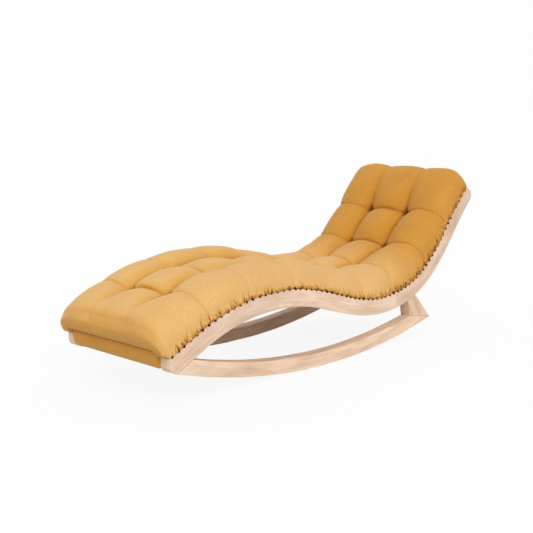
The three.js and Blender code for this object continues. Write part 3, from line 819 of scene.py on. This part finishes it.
def inflate(points, crease_shade):
    """Fills the cells by a cloth simulation with pressure, on a coarser copy that is held at its seams."""
    count = len(half_columns)
    half = np.concatenate([np.arange(0, count - EDGE_COLUMNS, 2),
                           np.arange(count - EDGE_COLUMNS, count, 4), [count - 1]])
    columns = count - 1 + np.concatenate([-half[:0:-1], half])
    rows = np.arange(0, len(station_s), SIM_STEP)
    coarse = points[np.ix_(rows, columns)]
    held = crease_shade[np.ix_(rows, columns)]
    index = np.arange(coarse.shape[0] * coarse.shape[1]).reshape(coarse.shape[:2])
    first, last = END_STEPS // SIM_STEP, (END_STEPS + len(runs) - 1) // SIM_STEP
    faces = grid_faces(index) + bottom_faces(index[first:last + 1]) + end_faces(index)
    mesh = bpy.data.meshes.new("filling")
    mesh.from_pydata([tuple(p) for p in coarse.reshape(-1, 3)], [],
                     [tuple(int(i) for i in f) for f in faces])
    mesh.update()
    body = new_object("filling", mesh)
    # held in creases, along the nails and under the ends
    pins = body.vertex_groups.new(name="pins")
    up = GIRTH - abs(across[columns])
    weight = np.clip((held - 0.25) / 0.2, 0, 1)
    weight = np.maximum(weight, np.clip(1.3 - up / 0.03, 0, 1))
    low = (abs(station_bend[rows]) > 1.9)[:, None]
    weight = np.where(low, 1, weight)
    for number, value in enumerate(weight.ravel()):
        if value > 0.01:
            pins.add([number], float(value), "REPLACE")
    cloth = body.modifiers.new("cloth", "CLOTH")
    for key, value in CLOTH.items():
        setattr(cloth.settings, key, value)
    cloth.settings.effector_weights.gravity = 0
    cloth.collision_settings.use_collision = False
    scene = bpy.context.scene
    for number in range(1, SIM_FRAMES + 1):
        scene.frame_set(number)
    body_now = body.evaluated_get(bpy.context.evaluated_depsgraph_get())
    moved = coordinates(body_now.data).reshape(coarse.shape) - coarse
    bpy.data.objects.remove(body)
    bpy.data.meshes.remove(mesh)
    scene.frame_set(1)
    far = np.linalg.norm(moved, axis=-1)[..., None]
    moved = moved * np.minimum(1, SIM_CAP / far.clip(1e-9))
    for _ in range(2):
        for axis in (0, 1):
            size = moved.shape[axis]
            near = np.take(moved, np.arange(-1, size - 1).clip(0), axis)
            after = np.take(moved, np.arange(1, size + 1).clip(0, size - 1), axis)
            moved = 0.5 * moved + 0.25 * (near + after)
    spread = hermite(np.arange(len(station_s)).astype(float), rows.astype(float), moved)
    return hermite(across, across[columns], spread.transpose(1, 0, 2)).transpose(1, 0, 2)


points, fabric_s, fabric_v, crease_shade = cushion_points()
points = points + inflate(points, crease_shade)
normals = grid_normals(points)
ends_fade = (station_end == 0) * smooth(station_run / 0.02) * smooth((LAST - station_run) / 0.015)
drawn, fold_shade = gathers(station_s, across)
points = points + normals * (drawn * ends_fade[:, None])[..., None]
# the gathered edges' painted shade joins the quilting's
crease_shade = np.maximum(crease_shade, fold_shade * ends_fade[:, None])

# the middle keeps every second station and the gathered edges keep them all, with five-cornered faces between
index = np.arange(points.shape[0] * points.shape[1]).reshape(points.shape[:2])
left, right = EDGE_COLUMNS, len(across) - 1 - EDGE_COLUMNS
faces = []
for low, high, step in ((0, left, 1), (left + 1, right - 1, 2), (right, len(across) - 1, 1)):
    faces += grid_faces(index[::step, low:high + 1])
for i in range(0, len(index) - 1, 2):
    faces.append((index[i, left], index[i + 1, left], index[i + 2, left],
                  index[i + 2, left + 1], index[i, left + 1]))
    faces.append((index[i, right], index[i, right - 1], index[i + 2, right - 1],
                  index[i + 2, right], index[i + 1, right]))
faces += bottom_faces(index[END_STEPS:END_STEPS + len(runs)]) + end_faces(index)
cushion = make_object("cushion", points.reshape(-1, 3), faces)
# the weave attribute's third value carries the painted crease shade to the fabric
set_vectors(cushion.data, "weave", np.stack([fabric_s, fabric_v, crease_shade], -1).reshape(-1, 3))
with edited(cushion.data) as bm:
    bmesh.ops.delete(bm, geom=[v for v in bm.verts if not v.link_faces], context="VERTS")
    bmesh.ops.remove_doubles(bm, verts=bm.verts, dist=2e-5)
    bmesh.ops.recalc_face_normals(bm, faces=bm.faces)
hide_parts("quilted_cover", "foam_core")

# ---- borders below the cushion's ends ----
BORDER_DROP = 0.041
BORDER_DEPTH = 0.0125
BORDER_HALF = INNER_FACE - GLUE
BORDER_BULGE = 0.04
BORDER_WEAVE = -2  # puts the borders outside the cushion's range of weave coordinates


def border(name, corners, node):
    """A padded panel: a closed outline in the profile, swollen across its width and drawn in at its ends."""
    count = len(corners)
    ys = np.linspace(-BORDER_HALF + 0.004, BORDER_HALF - 0.004, 60)
    ys = np.concatenate([[-BORDER_HALF], ys, [BORDER_HALF]])
    verts = []
    middle = corners.mean(0)
    for k, y in enumerate(ys):
        tight = 0.93 if k in (0, len(ys) - 1) else 1.0
        puff = (1 + BORDER_BULGE * (1 - abs(y / BORDER_HALF) ** 6)
                + 0.02 * math.sin(y * 41) + 0.015 * math.sin(y * 97 + 1))
        section = middle + (corners - middle) * tight * np.array([puff, 1])
        verts.extend(in_frame(section, y))
    ends = [tuple(range(count))[::-1], tuple(range(len(verts) - count, len(verts)))]
    piece = make_object(name, verts, ring_faces(len(ys), count) + ends)
    co = coordinates(piece.data)
    weave = np.stack([co[:, 1] + BORDER_WEAVE, co[:, 2] + co[:, 0], 0 * co[:, 0]], -1)
    set_vectors(piece.data, "weave", weave)
    with edited(piece.data) as bm:
        bmesh.ops.recalc_face_normals(bm, faces=bm.faces)
    sharpen(piece, 60)
    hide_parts(node)


def rounded_panel(top, seat, down, out, proud):
    """Outline of a panel: down its swollen face, straight back under it and up behind it to its seat."""
    t = np.linspace(0, 1, 19)
    bottom = seat + down * BORDER_DROP
    face = top + np.outer(t, bottom - top) + np.outer(proud * np.sin(math.pi * t) ** 0.5, out)
    back_low = bottom - out * BORDER_DEPTH
    back_top = seat - out * BORDER_DEPTH + down * 0.0005
    return np.concatenate([face, [back_low, back_top, seat + down * 0.0005]])


foot_corner = off_rail(0.0, HALF_DEPTH - GLUE)
foot_top = off_rail(-0.0006, HALF_DEPTH + BORDER_LIP - 0.0008)
foot_down, foot_out = np.array([0.0, -1.0]), np.array([-1.0, 0.0])
border("foot_panel", rounded_panel(foot_top, foot_corner, foot_down, foot_out, 0.009), "foot_border")
head_corner = off_rail(LAST, HALF_DEPTH - GLUE)
head_down = polar(-HEAD_CUT, 1)
head_out = np.array([-head_down[1], head_down[0]])
border("head_panel", rounded_panel(head_corner, head_corner, head_down, head_out, 0.005), "head_border")

# ---- upholstery nails ----
NAIL_RADIUS = 0.0052
NAIL_HEIGHT = 0.0032
NAIL_SKIRT = 0.002


def dome(centre, axis):
    """A nail's low domed head with a short skirt, as points and faces."""
    rings, count = 4, 12
    axis = axis / np.linalg.norm(axis)
    one = np.cross(axis, [1.0, 0.0, 0.0])
    one = one / np.linalg.norm(one)
    two = np.cross(axis, one)
    angles = np.linspace(0, 2 * math.pi, count, endpoint=False)
    circle = np.cos(angles)[:, None] * one + np.sin(angles)[:, None] * two
    verts = [centre - axis * NAIL_SKIRT + circle * NAIL_RADIUS * 0.96]
    for ring in range(rings):
        tilt = ring / rings * math.pi / 2
        verts.append(centre + axis * NAIL_HEIGHT * math.sin(tilt) + circle * NAIL_RADIUS * math.cos(tilt))
    verts = np.concatenate(verts + [[centre + axis * NAIL_HEIGHT], [centre - axis * NAIL_SKIRT]])
    faces = ring_faces(rings + 1, count)
    tip = (rings + 1) * count
    for i in range(count):
        j = (i + 1) % count
        faces.append((rings * count + i, rings * count + j, tip))
        faces.append((j, i, tip + 1))
    return verts, faces


for side, label in SIDES:
    verts, faces = [], []
    for run in nail_runs:
        centre = in_frame(off_rail(run, HALF_DEPTH + 0.0014), side * (HALF_WIDTH + 0.0002))
        ahead = way_along(run)
        ahead = ahead / np.linalg.norm(ahead)
        # the heads face outwards and a little up from the rail
        some, its = dome(centre, np.array([-ahead[1] * 0.5, side * 0.87, ahead[0] * 0.5]))
        faces.extend(tuple(i + len(verts) for i in f) for f in its)
        verts.extend(some)
    make_object(f"nails_{label}", verts, faces)


# ---- shader nodes ----
def new_material(name):
    material = bpy.data.materials.new(name)
    material.use_nodes = True
    tree = material.node_tree
    return material, tree, tree.nodes["Principled BSDF"]


def fill(tree, node, inputs):
    """Sets a node's inputs to values or links them to other nodes' outputs."""
    for key, value in inputs.items():
        if isinstance(value, bpy.types.NodeSocket):
            tree.links.new(value, node.inputs[key])
        else:
            node.inputs[key].default_value = value


def add(tree, kind, inputs={}, **settings):
    node = tree.nodes.new(kind)
    for key, value in settings.items():
        setattr(node, key, value)
    fill(tree, node, inputs)
    return node


def srgb(r, g, b):
    def one(c):
        c = c / 255
        return c / 12.92 if c <= 0.04045 else ((c + 0.055) / 1.055) ** 2.4
    return one(r), one(g), one(b)


def stretched(tree, source, axis, along, sideways):
    """Coordinates scaled by one factor along an axis and by another across it."""
    scale = [sideways] * 3
    scale[axis] = along
    return add(tree, "ShaderNodeMapping", {"Vector": source, "Scale": scale}).outputs["Vector"]


def noise_of(tree, vector, scale, detail=3, roughness=0.55):
    inputs = {"Vector": vector, "Scale": scale, "Detail": detail, "Roughness": roughness}
    return add(tree, "ShaderNodeTexNoise", inputs).outputs["Fac"]


def ramp_of(tree, value, *stops):
    node = add(tree, "ShaderNodeValToRGB", {"Fac": value})
    elements = node.color_ramp.elements
    while len(elements) < len(stops):
        elements.new(0.5)
    for element, (position, colour) in zip(elements, stops):
        element.position = position
        element.color = (*colour, 1)
    return node.outputs["Color"]


def ease_of(tree, value, low, high):
    """An eased step of a value: 0 up to one place and 1 from another on."""
    inputs = {"Value": value, "From Min": low, "From Max": high}
    return add(tree, "ShaderNodeMapRange", inputs, interpolation_type="SMOOTHSTEP").outputs["Result"]


def axes_of(tree, vector):
    return add(tree, "ShaderNodeSeparateXYZ", {"Vector": vector}).outputs


def mixed(tree, factor, a, b, kind="MULTIPLY"):
    inputs = {"Factor": factor, "A": a, "B": b}
    return add(tree, "ShaderNodeMix", inputs, data_type="RGBA", blend_type=kind).outputs["Result"]


def math_of(tree, kind, a, b):
    return add(tree, "ShaderNodeMath", {0: a, 1: b}, operation=kind).outputs["Value"]


def bump_of(tree, height, distance, strength):
    inputs = {"Height": height, "Distance": distance, "Strength": strength}
    return add(tree, "ShaderNodeBump", inputs).outputs["Normal"]


# ---- materials ----
# shaded and lit tones of the fabric, mixed as painted light and shade
SHADED_FABRIC = (205, 145, 58), (213, 153, 66)
LIT_FABRIC = (230, 181, 112), (235, 187, 119)
THREAD_SCALE = 130
THREAD_STRETCH = 9
# light and dark tone of each kind of board; the back boards' darker tones are painted shade, for the light
# that falls off towards the head
WASHED = {
    "foot": ((240, 211, 187), (222, 191, 164)),
    "seat": ((246, 219, 194), (228, 198, 170)),
    "back": ((236, 208, 184), (214, 184, 157)),
    "rocker": ((248, 218, 190), (226, 194, 165)),
    "strut": ((238, 208, 181), (216, 184, 155)),
}
RAW = (214, 188, 152), (190, 158, 118)


def fabric_material():
    """Mustard weave with painted light: paler on top of the seat, and painted shade darkening its creases."""
    material, tree, shader = new_material("mustard_weave")
    place = add(tree, "ShaderNodeAttribute", attribute_name="weave").outputs["Vector"]
    warp, weft = (noise_of(tree, stretched(tree, place, axis, THREAD_STRETCH, 1), THREAD_SCALE, 2)
                  for axis in (1, 0))
    slubs = noise_of(tree, place, 260, 2)
    threads = math_of(tree, "ADD", math_of(tree, "MULTIPLY", math_of(tree, "MAXIMUM", warp, weft), 0.6),
                      math_of(tree, "MULTIPLY", slubs, 0.4))
    patches = noise_of(tree, place, 9, 3)
    shaded_tone, lit_tone = (ramp_of(tree, patches, (0.30, srgb(*low)), (0.70, srgb(*high)))
                            for low, high in (SHADED_FABRIC, LIT_FABRIC))
    # painted light and shade: the lit tone unless it faces the foot, lies on the back or is under the foot
    # end, which get the shaded tone
    normal = add(tree, "ShaderNodeNewGeometry").outputs["Normal"]
    turned = ease_of(tree, axes_of(tree, normal)["X"], -1.2, -0.50)
    parts = axes_of(tree, place)
    seat_part = ease_of(tree, parts["X"], 1.55, 1.05)
    above_foot = ease_of(tree, parts["X"], -0.135, -0.045)
    lit_share = math_of(tree, "MULTIPLY", turned, math_of(tree, "MULTIPLY", seat_part, above_foot))
    lit_and_shaded = mixed(tree, lit_share, shaded_tone, lit_tone, "MIX")
    nubs = ramp_of(tree, noise_of(tree, place, 150, 2, 0.7),
                   (0.34, (0.86, 0.84, 0.80)), (0.66, (1.07, 1.07, 1.05)))
    thread_tone = ramp_of(tree, threads, (0.38, (0.80, 0.79, 0.76)), (0.66, (1.10, 1.10, 1.10)))
    woven = mixed(tree, 0.75, mixed(tree, 0.4, lit_and_shaded, nubs), thread_tone)
    # painted shade: darker and deeper yellow where the weave attribute's third value, the painted crease
    # shade, is high
    valley_shade_tone = ramp_of(tree, parts["Z"], (0.03, (1, 1, 1)), (0.22, (0.96, 0.88, 0.62)),
                   (0.9, (0.40, 0.25, 0.06)))
    fill(tree, shader, {"Base Color": mixed(tree, 1.0, woven, valley_shade_tone), "Roughness": 0.9,
                        "Sheen Weight": 0.3, "Sheen Roughness": 0.45, "Sheen Tint": (1.0, 0.86, 0.60, 1),
                        "Specular IOR Level": 0.2, "Normal": bump_of(tree, threads, 0.0011, 0.8)})
    return material


def wood_material(name, light, dark, source, roughness):
    """Wood with its grain along the board: figure, fibres, blotches and the bands of its rings."""
    material, tree, shader = new_material(name)
    if source == "grain":
        axis, place = 0, add(tree, "ShaderNodeAttribute", attribute_name="grain").outputs["Vector"]
    else:
        axis, place = 1, add(tree, "ShaderNodeTexCoord").outputs["Object"]
    figure = noise_of(tree, stretched(tree, place, axis, 1, 6), 6.5, 4, 0.6)
    fibres = noise_of(tree, stretched(tree, place, axis, 2, 132), 8, 3)
    blotch = noise_of(tree, stretched(tree, place, axis, 1, 3), 6, 2)
    rings = add(tree, "ShaderNodeTexWave",
                {"Vector": stretched(tree, place, axis, 0.06, 1), "Scale": 24, "Distortion": 9,
                 "Detail": 3, "Detail Scale": 0.8, "Detail Roughness": 0.55},
                wave_type="BANDS", bands_direction="Z", wave_profile="SIN")
    tone = ramp_of(tree, figure, (0.34, srgb(*dark)), (0.60, srgb(*light)))
    ring_tone = ramp_of(tree, rings.outputs["Fac"], (0.0, (0.90, 0.86, 0.82)), (0.45, (1.02, 1.02, 1.02)))
    fibre_tone = ramp_of(tree, fibres, (0.30, (0.90, 0.88, 0.86)), (0.62, (1.02, 1.02, 1.02)))
    blotch_tone = ramp_of(tree, blotch, (0.32, (0.94, 0.90, 0.87)), (0.68, (1.03, 1.04, 1.06)))
    lined = mixed(tree, 0.4, mixed(tree, 0.7, tone, fibre_tone), ring_tone)
    fill(tree, shader, {"Base Color": mixed(tree, 1.0, lined, blotch_tone),
                        "Roughness": roughness, "Specular IOR Level": 0.35,
                        "Normal": bump_of(tree, fibres, 0.0004, 0.5)})
    return material


def bronze_material():
    material, tree, shader = new_material("aged_bronze")
    wear = noise_of(tree, add(tree, "ShaderNodeTexCoord").outputs["Object"], 900, 3)
    tone = ramp_of(tree, wear, (0.35, srgb(66, 26, 6)), (0.7, srgb(98, 46, 14)))
    fill(tree, shader, {"Base Color": tone, "Metallic": 0.1, "Roughness": 0.7,
                        "Specular IOR Level": 0.12, "Normal": bump_of(tree, wear, 0.0002, 0.4)})
    return material


def dress(piece, material):
    piece.data.materials.clear()
    piece.data.materials.append(material)


fabric = fabric_material()
washed = {kind: wood_material(f"washed_{kind}", *tones, "grain", 0.62) for kind, tones in WASHED.items()}
raw = wood_material("raw_wood", *RAW, "object", 0.75)
bronze = bronze_material()

for piece in list(bpy.context.scene.objects):
    if piece.type != "MESH":
        continue
    if "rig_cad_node" in piece:
        dress(piece, raw)
        if not piece.hide_render:
            edge = piece.modifiers.new("eased_edges", "BEVEL")
            edge.width = 0.0012
            edge.segments = 2
            edge.limit_method = "ANGLE"
    elif piece.name.startswith("nails"):
        dress(piece, bronze)
    elif piece.name in ("cushion", "foot_panel", "head_panel"):
        dress(piece, fabric)
    else:
        dress(piece, washed[piece.name.split("_")[0]])


# ---- floor, light and world ----
FLOOR_DROP = 0.0004


def grey(level):
    return level, level, level, 1


def floor_material():
    """Nearly white to the camera, with soft shadows, and pale grey to reflected light."""
    material, tree, shader = new_material("pale_floor")
    tree.nodes.remove(shader)
    path = add(tree, "ShaderNodeLightPath")
    plain = add(tree, "ShaderNodeBsdfDiffuse", {"Color": grey(0.085)})
    glow = add(tree, "ShaderNodeEmission", {"Color": grey(1), "Strength": 0.905})
    seen = add(tree, "ShaderNodeAddShader", {0: plain.outputs["BSDF"], 1: glow.outputs["Emission"]})
    bounced = add(tree, "ShaderNodeBsdfDiffuse", {"Color": grey(0.8)})
    mix = add(tree, "ShaderNodeMixShader", {"Fac": path.outputs["Is Camera Ray"],
                                            1: bounced.outputs["BSDF"], 2: seen.outputs["Shader"]})
    fill(tree, tree.nodes["Material Output"], {"Surface": mix.outputs["Shader"]})
    return material


floor_mesh = bpy.data.meshes.new("floor")
floor_mesh.from_pydata([(-40, -40, 0), (40, -40, 0), (40, 40, 0), (-40, 40, 0)], [], [(0, 1, 2, 3)])
floor = new_object("floor", floor_mesh)
floor.location.z = -FLOOR_DROP
floor_mesh.materials.append(floor_material())
floor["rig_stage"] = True


def soft_sun(name, way, strength):
    """A broad, even light from a direction."""
    data = bpy.data.lights.new(name, "SUN")
    data.angle = math.radians(50)
    data.energy = strength
    lamp = new_object(name, data)
    lamp.location = Vector(way) * 4
    aim(lamp, -Vector(way))


soft_sun("key", (-0.46, -0.64, 0.62), 1.80)
soft_sun("rear", (0.30, 0.70, 0.65), 0.35)

world = bpy.data.worlds.new("studio")
bpy.context.scene.world = world
world.use_nodes = True
sky = world.node_tree
sky.nodes.clear()
# soft light, and a brighter white where the sky itself is seen or mirrored
path = add(sky, "ShaderNodeLightPath").outputs
seen_by = math_of(sky, "MAXIMUM", path["Is Camera Ray"], path["Is Glossy Ray"])
soft, white = (add(sky, "ShaderNodeBackground", {"Color": grey(1), "Strength": strength}).outputs["Background"]
               for strength in (0.52, 0.983))
choose = add(sky, "ShaderNodeMixShader", {"Fac": seen_by, 1: soft, 2: white})
add(sky, "ShaderNodeOutputWorld", {"Surface": choose.outputs["Shader"]})

bpy.context.scene.view_settings.view_transform = "Standard"

low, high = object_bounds()
